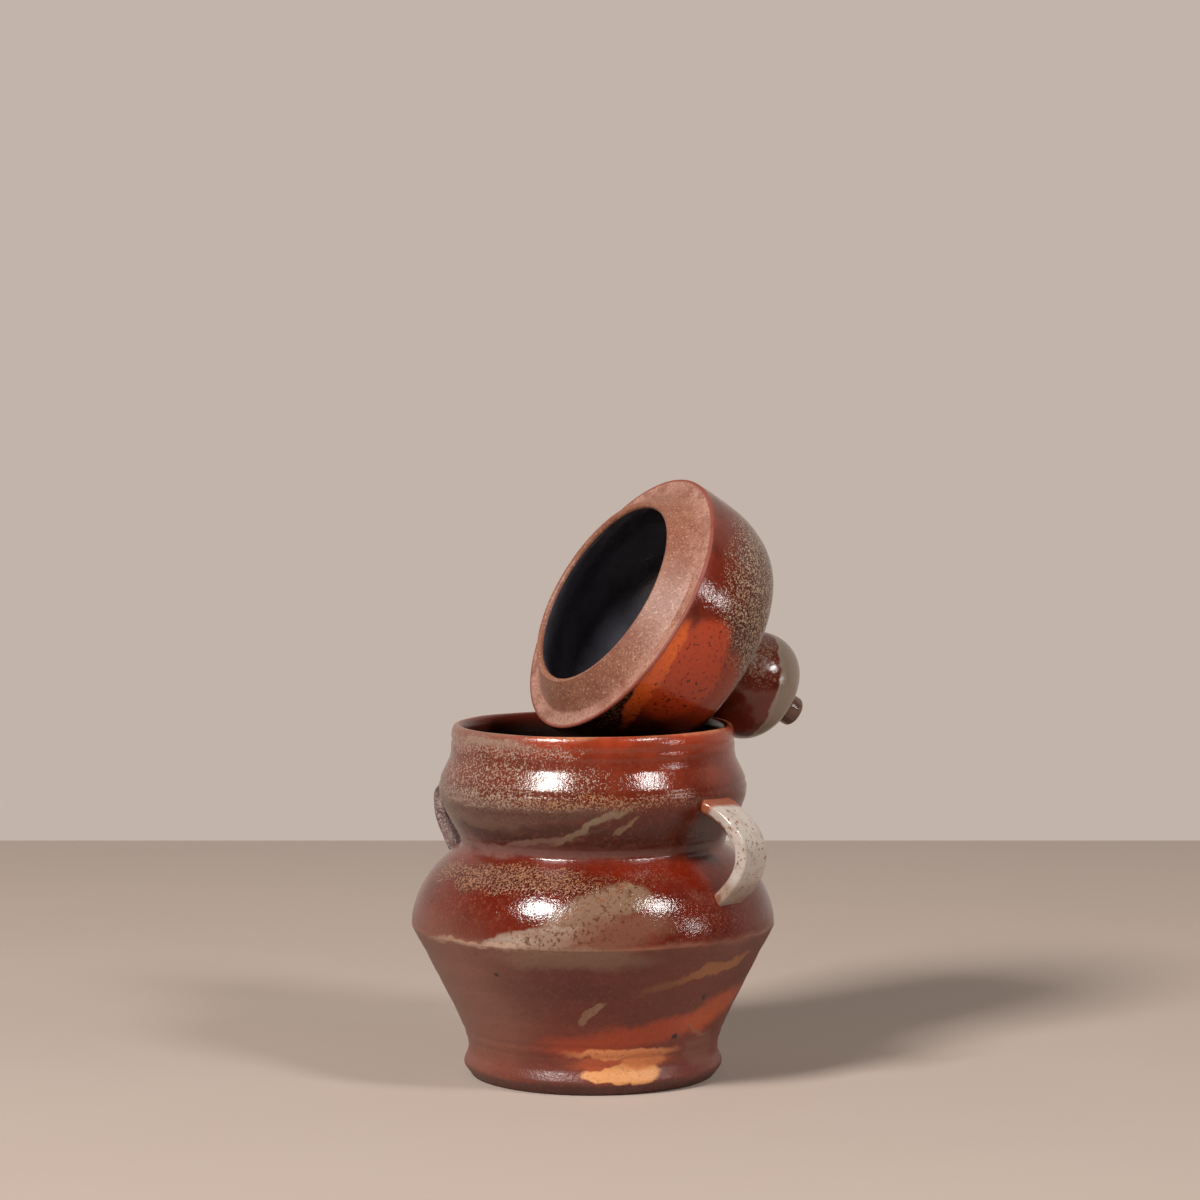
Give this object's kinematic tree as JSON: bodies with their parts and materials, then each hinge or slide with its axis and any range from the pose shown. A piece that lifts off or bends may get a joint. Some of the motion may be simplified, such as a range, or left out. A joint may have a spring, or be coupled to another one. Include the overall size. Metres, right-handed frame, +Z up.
{
  "type": "lidded jar",
  "caption": "Small wheel-thrown stoneware jar with a keeled body, swelling collar, strap handles, and a loose domed lid with a round knob lying tipped in its mouth.",
  "frame": {"origin": "centre of the flat foot that the jar stands on", "axes": "+Z up along the jar's axis, X through the two handles, the right handle on +X"},
  "size_m": [0.1153, 0.1189, 0.1718],
  "materials": {
    "bowl_stoneware": "matte iron-red wood-fired stoneware with orange flashes",
    "collar_glaze": "glossy iron-red glaze with tan ash speckle",
    "right_handle_glaze": "glossy pale ash glaze with rust spots",
    "left_handle_glaze": "satin grey-mauve ash glaze",
    "dome_glaze": "glossy red-brown glaze with granulated ash, matte seat band",
    "knob_glaze": "glossy dark maroon glaze with a pale ash cap",
    "finial_glaze": "glossy brown-grey glaze"
  },
  "bodies": {
    "jar": {"jar_bowl": "bowl_stoneware", "jar_collar": "collar_glaze", "handle_right": "right_handle_glaze", "handle_left": "left_handle_glaze"},
    "lid": {"lid_dome": "dome_glaze", "lid_knob": "knob_glaze", "lid_finial": "finial_glaze"}
  },
  "joints": [
    {"name": "lid_lift", "type": "slide", "parent": "jar", "child": "lid", "axis": [0, 0, 1], "range_m": [0, 0.06]}
  ]
}
